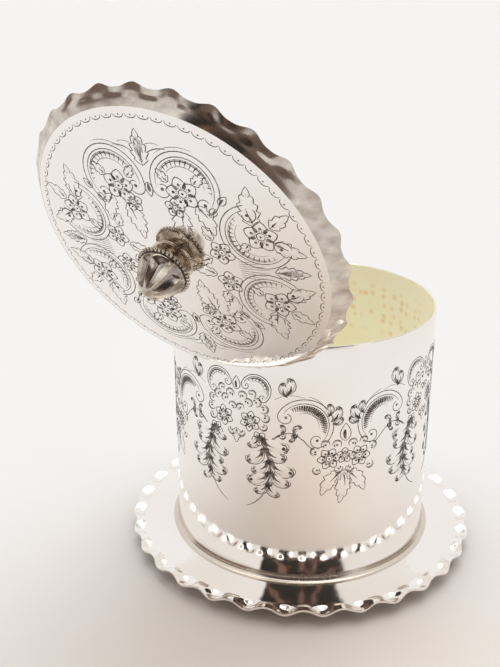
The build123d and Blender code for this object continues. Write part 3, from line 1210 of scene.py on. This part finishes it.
@dataclass
class Canister:
    """The straight wall, its gilt lining and the engraved band."""

    finishes: Finishes
    hinge: HingePlace
    sheet: float = 0.9 * MM
    lining: float = 0.22 * MM
    lining_rows: int = 90
    lip_drop: float = 0.5 * MM
    repeats: int = 4

    def shell(self) -> Piece:
        """Turn the silver wall with a softened rim.

        Returns:
            The wall.
        """
        low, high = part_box("body_wall")
        outer = high.x
        inner = outer - self.sheet + self.lining
        soft = 0.22 * MM
        section = [
            (outer, low.z),
            *[(outer, low.z + (high.z - low.z - 2 * soft) * i / 8 + soft) for i in range(9)],
            (outer - 0.3 * soft, high.z - 0.3 * soft),
            (outer - soft, high.z),
            (inner + soft, high.z),
            (inner, high.z - soft),
            (inner, low.z),
        ]
        piece = put_mesh("body_silver_wall", lathe(section, ROUND_STEPS, True), [self.finishes.silver])
        return settle(piece, Ride.BOX, Slot.SILVER, ["body_wall"])

    def lining_skin(self) -> Piece:
        """Turn the gilt skin inside the wall.

        Returns:
            The lining.
        """
        low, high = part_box("body_wall")
        outer = high.x - self.sheet + self.lining
        inner = outer - self.lining
        top = high.z - self.lip_drop
        rows = self.lining_rows
        section = [(outer - 0.01 * MM, low.z), (outer - 0.01 * MM, top)]
        section += [(inner, top - (top - low.z) * i / rows) for i in range(rows + 1)]
        bm = lathe(section, ROUND_STEPS, True)
        piece = put_mesh("body_gilt_lining", bm, [self.finishes.gilt])
        return settle(piece, Ride.BOX, Slot.GILT, ["body_wall"])

    def half_repeat(self, draw: Motifs) -> None:
        """Cut one half of the swag, from a flower cluster to the pendant beside it.

        Args:
            draw: the motifs, already mirrored for this half.
        """
        draw.scroll((8.9, 99.0), 6.7, math.radians(-122), math.radians(215), 0.45)
        draw.scroll((29.6, 84.2), 12.2, math.radians(-128), math.radians(205), 0.95)
        draw.flower((6.4, 84.0), 4.7, 6, 0.4)
        draw.flower((10.6, 76.6), 3.4, 5, 0.9)
        draw.flower((40.3, 68.8), 5.0, 6, 0.1)
        for place, radius, facing in (
            ((3.0, 95.2), 2.3, 80),
            ((5.6, 92.4), 2.2, 40),
            ((9.4, 93.2), 2.4, 20),
            ((12.6, 90.4), 2.3, -10),
            ((13.2, 86.4), 2.2, -40),
            ((1.9, 89.6), 2.1, 110),
            ((12.4, 82.2), 2.0, -60),
            ((2.2, 77.8), 2.2, -80),
            ((7.4, 96.8), 2.0, 60),
            ((35.2, 63.4), 2.1, -120),
            ((34.2, 72.4), 2.3, 150),
            ((38.6, 75.6), 2.2, 100),
            ((43.6, 75.4), 2.3, 80),
            ((44.6, 63.6), 2.2, -80),
        ):
            draw.scale(place, 0.84 * radius, math.radians(facing))
        draw.spray(
            [(10.4, 78.0), (12.8, 73.0), (14.8, 67.6), (15.6, 62.0), (14.6, 56.6), (12.8, 52.0)],
            [
                (0, (22.2, 71.2), 1),
                (1, (21.4, 66.8), 1),
                (2, (24.8, 60.0), 1),
                (3, (22.8, 54.6), 1),
                (0, (6.6, 71.6), -1),
                (1, (6.2, 64.0), -1),
                (2, (8.8, 59.2), -1),
                (3, (6.4, 54.6), -1),
                (4, (18.0, 49.2), 1),
                (4, (9.6, 50.0), -1),
            ],
            [(14.0, 54.0), (12.0, 49.4), (8.6, 45.4), (4.6, 42.8)],
        )
        draw.spray(
            [(15.6, 76.4), (20.0, 79.8), (25.0, 80.6), (30.0, 77.0)],
            [(1, (21.0, 84.2), 1), (2, (27.6, 84.6), -1), (2, (24.4, 76.6), -1)],
            [(29.0, 78.0), (32.0, 74.6), (34.6, 73.0)],
        )
        draw.hook((22.0, 97.8), (24.6, 105.2), 1)
        draw.hook((22.4, 97.0), (19.6, 103.0), -1)
        draw.hook((40.6, 86.0), (45.0, 92.0), 1)
        draw.hook((41.2, 85.0), (46.0, 86.6), 1)
        draw.hook((39.4, 88.4), (40.6, 94.0), 1)
        draw.sweep((17.2, 95.6), math.radians(36), 13.6, math.radians(-62), draw.hair)
        draw.sweep((31.0, 97.8), math.radians(-14), 13.0, math.radians(-66), draw.hair)
        draw.leaf((45.6, 62.4), math.radians(-140), 14.2, 8.0, 4, math.radians(34))

    def middle_marks(self, draw: Motifs, pendant: float) -> None:
        """Cut what lies on a repeat's two mirror lines.

        Args:
            draw: the motifs.
            pendant: how far the pendant is from the cluster, in millimetres.
        """
        draw.bud((0.0, 97.4), math.radians(90), 6.2, 3.6)
        draw.leaf((0.0, 79.6), math.radians(-90), 7.0, 4.8, 3)
        draw.leaf((pendant, 63.0), math.radians(-90), 16.4, 8.6, 5, math.radians(-16))
        draw.bud((pendant, 76.6), math.radians(90), 8.4, 4.8)
        draw.flower((pendant, 69.8), 3.6, 5, 0.3)

    def band(self) -> Iterator[Piece]:
        """Engrave the swag round the wall.

        Returns:
            The cuts, then the raised petals.
        """
        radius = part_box("body_wall")[1].x
        pendant = math.pi * radius / self.repeats / MM
        lines = Engraver(WallChart(radius))
        draw = Motifs(lines)
        for k in range(self.repeats):
            lines.shift = self.hinge.azimuth * radius / MM + 2 * pendant * k
            for side in (-1, 1):
                lines.mirrored(side, 1)
                self.half_repeat(draw)
            lines.mirrored(1, 1)
            self.middle_marks(draw, pendant)
        cuts = lines.cut_mesh("body_engraved_swag", self.finishes.cut)
        yield settle(cuts, Ride.BOX, Slot.SILVER, ["body_wall"])
        raised = lines.petal_mesh("body_chased_petals", self.finishes.silver)
        yield settle(raised, Ride.BOX, Slot.SILVER, ["body_wall"])

    def build(self) -> Iterator[Piece]:
        """Build the canister's pieces.

        Returns:
            The pieces, each as it is made.
        """
        yield self.shell()
        yield self.lining_skin()
        yield from self.band()


@dataclass
class Lid:
    """The domed lid with its frilled border and engraving, drawn closed and then opened."""

    finishes: Finishes
    hinge: HingePlace
    dome_radius: float = 58.8 * MM
    dome_above_rim: float = 4.0 * MM
    dome_rise: float = 5.0 * MM
    sheet: float = 0.8 * MM
    frill: Frill = Frill(28, 60.4 * MM, 63.5 * MM, 1.2 * MM, 1.2 * MM, 1.5)
    scallops: int = 72

    @property
    def rim(self) -> float:
        """Height of the body's rim."""
        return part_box("body_wall")[1].z

    @property
    def sphere(self) -> float:
        """Radius of the dome's sphere."""
        return (self.dome_radius**2 + self.dome_rise**2) / (2 * self.dome_rise)

    @property
    def sphere_centre(self) -> float:
        """Height of the sphere's middle, with the lid closed."""
        return self.rim + self.dome_above_rim + self.dome_rise - self.sphere

    def dome_height(self, radius: float, drop: float = 0.0) -> float:
        """Height of the dome's upper face.

        Args:
            radius: how far from the axis.
            drop: how far below the upper face.

        Returns:
            The height with the lid closed.
        """
        return self.sphere_centre + math.sqrt((self.sphere - drop) ** 2 - radius**2)

    def dome(self) -> Piece:
        """Turn the domed plate.

        Returns:
            The dome.
        """
        rings = 40
        reach = [STUD_HOLE + (self.dome_radius - STUD_HOLE) * i / rings for i in range(rings + 1)]
        upper = [(r, self.dome_height(r)) for r in reach]
        upper[-1] = (self.dome_radius, self.dome_height(self.dome_radius) - 0.12 * MM)
        lower = [(r, self.dome_height(r, self.sheet)) for r in reversed(reach)]
        bm = lathe(upper + lower, ROUND_STEPS, True)
        bmesh.ops.transform(bm, matrix=self.hinge.swung_open(), verts=bm.verts)
        piece = put_mesh("lid_domed_plate", bm, [self.finishes.silver])
        return settle(piece, Ride.LID, Slot.SILVER, ["lid_dome"])

    def border(self) -> Piece:
        """Turn the hollow border and wave its edge.

        Returns:
            The border.
        """
        rim = self.rim
        upper = flowing(
            [
                (self.dome_radius + 0.05 * MM, rim + self.dome_above_rim - 0.05 * MM),
                (60.1 * MM, rim + 2.35 * MM),
                (61.7 * MM, rim + 0.75 * MM),
                (self.frill.edge, rim - 0.95 * MM),
            ],
            8,
        )
        lower = flowing(
            [
                (self.frill.edge - 0.35 * MM, rim - 1.45 * MM),
                (61.2 * MM, rim + 0.3 * MM),
                (60.3 * MM, rim + 1.0 * MM),
                (58.6 * MM, rim + 1.45 * MM),
            ],
            6,
        )
        inner = [(56.7 * MM, rim + 1.6 * MM), (56.7 * MM, rim + 3.3 * MM)]
        bm = lathe([*upper, *lower, *inner], self.frill.lobes * STEPS_PER_LOBE, True)
        self.frill.wave(bm)
        bmesh.ops.transform(bm, matrix=self.hinge.swung_open(), verts=bm.verts)
        # Its darker finish is a painted dark reflection, with tarnish.
        piece = put_mesh("lid_frilled_border", bm, [self.finishes.border])
        return settle(piece, Ride.LID, Slot.SILVER, ["lid_border"])

    def inward_group(self, draw: Motifs) -> None:
        """Cut one scroll that opens to the middle, with its flower and leaves.

        Args:
            draw: the motifs, already mirrored for this quarter.
        """
        draw.scroll((14.3, 32.0), 12.9, math.radians(-107), math.radians(235), 0.3)
        draw.flower((13.0, 29.4), 6.2, 5, 0.5)
        draw.leaf((11.2, 23.0), math.radians(-108), 15.6, 8.8, 5, math.radians(24))
        draw.leaf((17.2, 25.4), math.radians(-58), 12.6, 7.4, 4, math.radians(-30))
        draw.leaf((17.6, 33.0), math.radians(40), 6.6, 4.6, 3)
        draw.leaf((8.4, 33.4), math.radians(128), 6.0, 4.4, 3)
        draw.leaf((0.0, 38.6), math.radians(90), 13.0, 8.0, 5)
        draw.flower((8.6, 23.4), 4.0, 5, 0.2)
        draw.bud((0.0, 32.4), math.radians(-90), 5.6, 3.0)
        draw.arc((14.3, 32.0), 14.3, math.radians(66), math.radians(128), draw.hair)
        draw.sweep((3.2, 43.6), math.radians(34), 8.0, math.radians(-46), draw.line)
        draw.sweep((2.8, 46.4), math.radians(24), 6.0, math.radians(-50), draw.hair)

    def outward_group(self, draw: Motifs) -> None:
        """Cut one scroll that opens to the rim, with its flower and leaves.

        Args:
            draw: the motifs, already mirrored for this quarter.
        """
        draw.scroll((36.4, 14.3), 12.9, math.radians(36), math.radians(235), 0.3)
        draw.flower((38.2, 15.0), 6.0, 5, 0.2)
        draw.leaf((36.4, 19.0), math.radians(96), 15.0, 9.0, 5, math.radians(-18))
        draw.leaf((42.2, 12.6), math.radians(-34), 11.8, 7.4, 4, math.radians(24))
        draw.leaf((42.0, 18.6), math.radians(36), 9.0, 6.0, 3)
        draw.leaf((33.2, 11.4), math.radians(222), 5.4, 4.0, 3)
        draw.leaf((40.2, 0.0), 0.0, 12.6, 6.8, 5)
        draw.flower((22.0, 6.6), 4.9, 5, 0.9)
        draw.leaf((17.6, 3.6), math.radians(196), 10.4, 5.8, 4, math.radians(-22))
        draw.leaf((19.6, 11.4), math.radians(112), 6.4, 4.6, 3)
        for k in range(4):
            level = 0.35 + 0.75 * k
            draw.sweep((27.4, level * 1.3), math.radians(2), 11.0 - 1.6 * k, math.radians(4 * k), draw.hair)
        draw.bud((25.8, 26.4), math.radians(45), 4.6, 2.8)
        draw.bud((24.2, 24.6), math.radians(228), 4.4, 2.8)

    def scallop_ring(self, draw: Motifs) -> None:
        """Cut the ring of small scallops, each with one punch mark.

        Args:
            draw: the motifs.
        """
        ring = self.dome_radius / MM - 2.4
        half = 0.92 * math.pi / self.scallops
        steps = 8
        for k in range(self.scallops):
            middle = FULL_TURN * k / self.scallops
            line = []
            for i in range(steps + 1):
                t = -1 + 2 * i / steps
                radius = ring - 1.25 * math.sqrt(1 - t * t)
                line.append(polar((0.0, 0.0), radius, middle + half * t))
            draw.tool.cut(line, 0.34, 0.6, 0.6)
            draw.tool.punch(polar((0.0, 0.0), ring - 0.25, middle), 0.62)

    def engraving(self) -> Iterator[Piece]:
        """Engrave the dome.

        Returns:
            The cuts, then the raised petals.
        """
        chart = DomeChart(self.sphere, self.sphere_centre, self.hinge.swung_open())
        lines = Engraver(chart)
        draw = Motifs(lines)
        for across in (-1, 1):
            for up in (-1, 1):
                lines.mirrored(across, up)
                self.inward_group(draw)
                self.outward_group(draw)
        lines.mirrored(1, 1)
        self.scallop_ring(draw)
        cuts = lines.cut_mesh("lid_engraved_scrolls", self.finishes.cut)
        yield settle(cuts, Ride.LID, Slot.SILVER, ["lid_dome"])
        raised = lines.petal_mesh("lid_chased_petals", self.finishes.silver)
        yield settle(raised, Ride.LID, Slot.SILVER, ["lid_dome"])

    def build(self) -> Iterator[Piece]:
        """Build the lid's pieces.

        Returns:
            The pieces, each as it is made.
        """
        yield self.dome()
        yield self.border()
        yield from self.engraving()


@dataclass
class Finial:
    """The lid's finial: turned stem, beaded collar and fluted bud."""

    finishes: Finishes
    hinge: HingePlace
    lid: Lid
    beads: int = 40
    flutes: int = 8
    collar_height: float = 15.2 * MM
    collar_radius: float = 10.5 * MM
    bud_radius: float = 9.0 * MM
    tip_height: float = 27.2 * MM
    seat: float = 0.06 * MM
    flute_depth: float = 0.24
    flute_steps: int = 22

    def opened(self, bm: Mesh) -> None:
        """Swing a mesh drawn on the closed lid to the open one."""
        bmesh.ops.transform(bm, matrix=self.hinge.swung_open(), verts=bm.verts)

    def stem(self) -> Piece:
        """Turn the stem: a spread foot, a hollow neck with a bead, and a cup.

        Returns:
            The stem.
        """
        base = self.lid.dome_height(0.0)
        top = self.lid.rim + self.collar_height - 1.0 * MM
        foot = flowing(
            [(8.2 * MM, base - self.seat), (8.3 * MM, base + 0.35 * MM), (7.7 * MM, base + 0.6 * MM)], 3
        )
        neck = flowing(
            [(7.1 * MM, base + 0.65 * MM), (5.0 * MM, base + 1.2 * MM), (4.2 * MM, base + 2.2 * MM)], 5
        )
        bead = [
            (
                4.6 * MM + 0.75 * MM * math.cos(-1.4 + 2.8 * i / 8),
                base + 2.9 * MM + 0.6 * MM * math.sin(-1.4 + 2.8 * i / 8),
            )
            for i in range(9)
        ]
        cup = flowing([(4.9 * MM, base + 3.6 * MM), (6.6 * MM, base + 4.1 * MM), (8.6 * MM, top)], 6)
        section = [(STUD_HOLE, base - self.seat), *foot, *neck, *bead, *cup, (STUD_HOLE, top)]
        bm = lathe(section, 96, True)
        self.opened(bm)
        piece = put_mesh("finial_turned_stem", bm, [self.finishes.finial])
        return settle(piece, Ride.LID, Slot.SILVER, ["finial_stem"])

    def collar(self) -> Piece:
        """Turn the collar's disc, paint shade on its rim behind the beads and set its ring of slanted beads.

        Returns:
            The collar.
        """
        low = self.lid.rim + self.collar_height - 1.0 * MM
        high = self.lid.rim + self.collar_height + 0.4 * MM
        core = self.collar_radius - 0.95 * MM
        section = [
            (STUD_HOLE, low),
            (core - 0.3 * MM, low),
            (core, low + 0.3 * MM),
            (core, high - 0.1 * MM),
            (core - 0.2 * MM, high + 0.12 * MM),
            (core - 0.55 * MM, high + 0.12 * MM),
            (core - 0.75 * MM, high),
            (STUD_HOLE, high),
        ]
        bm = lathe(section, 96, True)
        # Faces on the core's rim behind the beads take the dark cut finish: painted shade in the gaps between
        # the beads.
        for face in bm.faces:
            if face.calc_center_median().xy.length > core - 0.4 * MM:
                face.material_index = 1
        bead = ball(12, 8)
        seat = Vector((core + 0.1 * MM, 0, (low + high) / 2))
        leaning = Matrix.LocRotScale(seat, Euler((math.radians(24), 0, 0)), (0.85 * MM, 0.60 * MM, 0.84 * MM))
        for k in range(self.beads):
            stamp(bm, bead, Matrix.Rotation(FULL_TURN * k / self.beads, 4, "Z") @ leaning)
        bpy.data.meshes.remove(bead)
        self.opened(bm)
        piece = put_mesh("finial_beaded_collar", bm, [self.finishes.finial, self.finishes.cut])
        return settle(piece, Ride.LID, Slot.SILVER, ["finial_collar"])

    def bud(self) -> Piece:
        """Turn the bud, sink its long hollow flutes and paint shade in them.

        Returns:
            The bud.
        """
        low = self.lid.rim + self.collar_height + 0.4 * MM
        tip = self.lid.rim + self.tip_height
        side = flowing(
            [
                (self.bud_radius, low + 0.3 * MM),
                (self.bud_radius - 0.15 * MM, low + 2.2 * MM),
                (7.5 * MM, low + 5.6 * MM),
                (5.3 * MM, low + 8.8 * MM),
                (2.6 * MM, tip - 0.9 * MM),
                (1.1 * MM, tip - 0.15 * MM),
            ],
            9,
        )
        outline = [(0.0, low), (self.bud_radius - 0.3 * MM, low), *side, (0.0, tip)]
        bm = lathe(outline, self.flutes * self.flute_steps, False)
        height = tip - low
        for vert in bm.verts:
            share = (vert.co.z - low) / height
            radius = math.hypot(vert.co.x, vert.co.y)
            if radius < 0.2 * MM:
                continue
            turn = math.atan2(vert.co.y, vert.co.x) / FULL_TURN * self.flutes
            across = abs(2 * (turn % 1.0) - 1)
            hollow = max(0.0, 1 - across**1.6)
            depth = eased(share, 0.03, 0.24) * (1 - eased(share, 0.82, 0.99))
            scale = 1 - self.flute_depth * hollow * depth
            vert.co.x *= scale
            vert.co.y *= scale
        # Faces inside each flute take the darker finish: painted shade in the hollows, with tarnish.
        for face in bm.faces:
            middle = face.calc_center_median()
            turn = math.atan2(middle.y, middle.x) / FULL_TURN * self.flutes
            share = (middle.z - low) / height
            if 0.06 < share < 0.90 and abs(2 * (turn % 1.0) - 1) < 0.66 - 0.20 * share:
                face.material_index = 1
        self.opened(bm)
        piece = put_mesh("finial_fluted_bud", bm, [self.finishes.finial, self.finishes.hollow])
        return settle(piece, Ride.LID, Slot.SILVER, ["finial_bud"])

    def build(self) -> Iterator[Piece]:
        """Build the finial's pieces.

        Returns:
            The pieces, each as it is made.
        """
        yield self.stem()
        yield self.collar()
        yield self.bud()


@dataclass
class KeptParts:
    """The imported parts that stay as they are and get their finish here."""

    finishes: Finishes

    def dress(self) -> None:
        """Give each kept part its finish."""
        choices = {
            "foot_ring": self.finishes.silver,
            "body_floor": self.finishes.gilt,
            "body_hinge_leaf": self.finishes.hinge,
            "hinge_pin": self.finishes.hinge,
            "lid_bezel": self.finishes.silver,
            "lid_hinge_leaf": self.finishes.hinge,
            "finial_stud": self.finishes.brass,
            "finial_washer": self.finishes.brass,
            "finial_nut": self.finishes.brass,
        }
        for node, finish in choices.items():
            part = frame["nodes"][node]
            part.data.materials.clear()
            part.data.materials.append(finish)
            LOG.info("%s keeps its shape and is finished in %s", node, finish.name)


@dataclass(frozen=True)
class SkyPatch:
    """A soft-edged patch of the surroundings, by direction in radians."""

    turn: float
    half_width: float
    low: float
    high: float
    colour: Triple
    soft: float = 0.03


class SkySheet:
    """The world's node tree, painted patch by patch."""

    def __init__(self, name: str, colour: Triple) -> None:
        """Start a world of one colour.

        Args:
            name: the world's name.
            colour: its radiance all round.
        """
        self.world = bpy.data.worlds.new(name)
        self.world.use_nodes = True
        self.tree = self.world.node_tree
        self.tree.nodes.clear()
        place = self.tree.nodes.new("ShaderNodeTexCoord")
        split = self.tree.nodes.new("ShaderNodeSeparateXYZ")
        self.direction = place.outputs["Generated"]
        self.tree.links.new(self.direction, split.inputs[0])
        forwards = self.math("MULTIPLY", split.outputs["Y"], -1.0)
        self.azimuth = self.math("ARCTAN2", split.outputs["X"], forwards)
        self.height = self.math("ARCSINE", split.outputs["Z"])
        plain = self.tree.nodes.new("ShaderNodeRGB")
        plain.outputs[0].default_value = (*colour, 1.0)
        self.colour = plain.outputs[0]

    def step(self, kind: str, *sources: Socket | float, **settings: object) -> Socket:
        """Add one node.

        Args:
            kind: the node's type name.
            *sources: a socket or a number for each of its inputs in turn.
            **settings: properties set on the node.

        Returns:
            The node's first output.
        """
        node = self.tree.nodes.new(kind)
        for key, value in settings.items():
            setattr(node, key, value)
        for socket, source in zip(node.inputs, sources):
            if isinstance(source, Socket):
                self.tree.links.new(source, socket)
            else:
                socket.default_value = source
        return node.outputs[0]

    def math(self, operation: str, *sources: Socket | float) -> Socket:
        """One math operation on sockets or numbers."""
        return self.step("ShaderNodeMath", *sources, operation=operation)

    def ramp(self, value: Socket, start: float, end: float) -> Socket:
        """A value that goes from 0 to 1 between two ends."""
        return self.step("ShaderNodeMapRange", value, start, end, 0.0, 1.0)

    def blend(self, share: Socket, colour: Triple) -> None:
        """Lay a colour over what is painted, where the share is 1.

        Args:
            share: where the colour lies, from 0 to 1.
            colour: the colour.
        """
        mix = self.tree.nodes.new("ShaderNodeMix")
        mix.data_type = "RGBA"
        mix.inputs["B"].default_value = (*colour, 1.0)
        self.tree.links.new(self.colour, mix.inputs["A"])
        self.tree.links.new(share, mix.inputs["Factor"])
        self.colour = mix.outputs["Result"]

    def mask(self, patch: SkyPatch) -> Socket:
        """Where a patch is, as a share from 0 to 1.

        Args:
            patch: the patch.

        Returns:
            The share's socket.
        """
        sideways = self.math("ABSOLUTE", self.math("SUBTRACT", self.azimuth, patch.turn))
        across = self.ramp(sideways, patch.half_width + patch.soft, patch.half_width)
        above = self.ramp(self.height, patch.low - patch.soft, patch.low)
        below = self.ramp(self.height, patch.high + patch.soft, patch.high)
        return self.math("MULTIPLY", across, self.math("MULTIPLY", above, below))

    def paint(self, patch: SkyPatch) -> None:
        """Paint one patch."""
        self.blend(self.mask(patch), patch.colour)

    def figures(self, patch: SkyPatch, size: float) -> None:
        """Paint vague upright shapes inside a patch.

        Args:
            patch: where they are and their colour.
            size: how many there are, as a noise scale.
        """
        stretch = self.tree.nodes.new("ShaderNodeMapping")
        stretch.inputs["Scale"].default_value = (4.0, 1.0, 1.0)
        self.tree.links.new(self.direction, stretch.inputs["Vector"])
        noise = self.tree.nodes.new("ShaderNodeTexNoise")
        noise.inputs["Scale"].default_value = size
        self.tree.links.new(stretch.outputs["Vector"], noise.inputs["Vector"])
        shapes = self.ramp(noise.outputs["Fac"], 0.56, 0.62)
        self.blend(self.math("MULTIPLY", shapes, self.mask(patch)), patch.colour)

    def finish(self) -> bpy.types.World:
        """Join the painted colour to the world's output.

        Returns:
            The world.
        """
        background = self.step("ShaderNodeBackground", self.colour)
        output = self.tree.nodes.new("ShaderNodeOutputWorld")
        self.tree.links.new(background, output.inputs["Surface"])
        return self.world


@dataclass
class Studio:
    """The pale table, the white tent with its dark mouth, the sun and the camera."""

    table_half: float = 9.0
    tent: Triple = (0.93, 0.925, 0.92)
    ceiling: SkyPatch = SkyPatch(0.0, 4.0, math.radians(62), 4.0, (2.10, 2.07, 2.03))
    mouth: SkyPatch = SkyPatch(
        math.radians(4.6), math.radians(36.5), math.radians(-3), math.radians(60), (0.034, 0.030, 0.027)
    )
    room: SkyPatch = SkyPatch(
        math.radians(4.6), math.radians(36.5), math.radians(-3), math.radians(15), (0.20, 0.15, 0.125), 0.12
    )
    figure: SkyPatch = SkyPatch(
        math.radians(4.6), math.radians(34), math.radians(2), math.radians(52), (0.22, 0.13, 0.10)
    )
    sides: tuple[SkyPatch, ...] = (
        SkyPatch(
            math.radians(-70), math.radians(28), math.radians(-3), math.radians(19), (0.25, 0.19, 0.16), 0.12
        ),
        SkyPatch(
            math.radians(88), math.radians(26), math.radians(-3), math.radians(16), (0.34, 0.27, 0.23), 0.12
        ),
    )
    sun_energy: float = 0.85
    sun_softness: float = math.radians(60)

    def table(self) -> None:
        """Lay the table."""
        bm = bmesh.new()
        bmesh.ops.create_grid(bm, x_segments=2, y_segments=2, size=self.table_half)
        floor = put_mesh("studio_table", bm, [PaperTable("pale_table").material()])

    def surroundings(self) -> None:
        """Paint the white tent all round, with the dark mouth that its front has."""
        sky = SkySheet("light_tent", self.tent)
        for patch in (self.ceiling, *self.sides, self.mouth):
            sky.paint(patch)
        sky.figures(self.figure, 1.7)
        sky.paint(self.room)
        bpy.context.scene.world = sky.finish()

    def sun(self) -> None:
        """Hang one broad soft light high behind the box."""
        light = bpy.data.lights.new("soft_key", "SUN")
        light.energy = self.sun_energy
        light.angle = self.sun_softness
        light.color = (0.97, 0.985, 1.0)
        lamp = bpy.data.objects.new("soft_key", light)
        lamp.visible_glossy = False
        lamp.rotation_euler = Vector((0.12, 0.55, 1.0)).to_track_quat("Z", "Y").to_euler()
        bpy.context.scene.collection.objects.link(lamp)

    def camera(self) -> None:
        """Set the camera in front, looking down on the box."""
        lens = bpy.data.cameras.new("view")
        lens.lens = 49.5
        lens.sensor_width = 36.0
        lens.clip_start = 0.01
        viewer = bpy.data.objects.new("view", lens)
        viewer.location = (0.0065, -0.3982, 0.2584)
        viewer.rotation_euler = (math.radians(90 - 21.5), 0.0, math.radians(4.5))
        bpy.context.scene.collection.objects.link(viewer)
        bpy.context.scene.camera = viewer

    def build(self) -> None:
        """Set up the whole studio."""
        self.table()
        self.surroundings()
        self.sun()
        self.camera()
        bpy.context.scene.view_settings.view_transform = "Standard"


def main() -> None:
    """Build the box's pieces in order, dress what is kept and set the studio."""
    logging.basicConfig(level=logging.INFO, format="%(name)s: %(message)s")
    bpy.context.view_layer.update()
    finishes = Finishes()
    hinge = HingePlace.from_frame(frame["joints"][0])
    lid = Lid(finishes, hinge)
    count = 0
    for assembly in (Tray(finishes, hinge), Canister(finishes, hinge), lid, Finial(finishes, hinge, lid)):
        for _ in assembly.build():
            count += 1
    KeptParts(finishes).dress()
    Studio().build()
    LOG.info("%d pieces built", count)


if __name__ == "__main__":
    main()
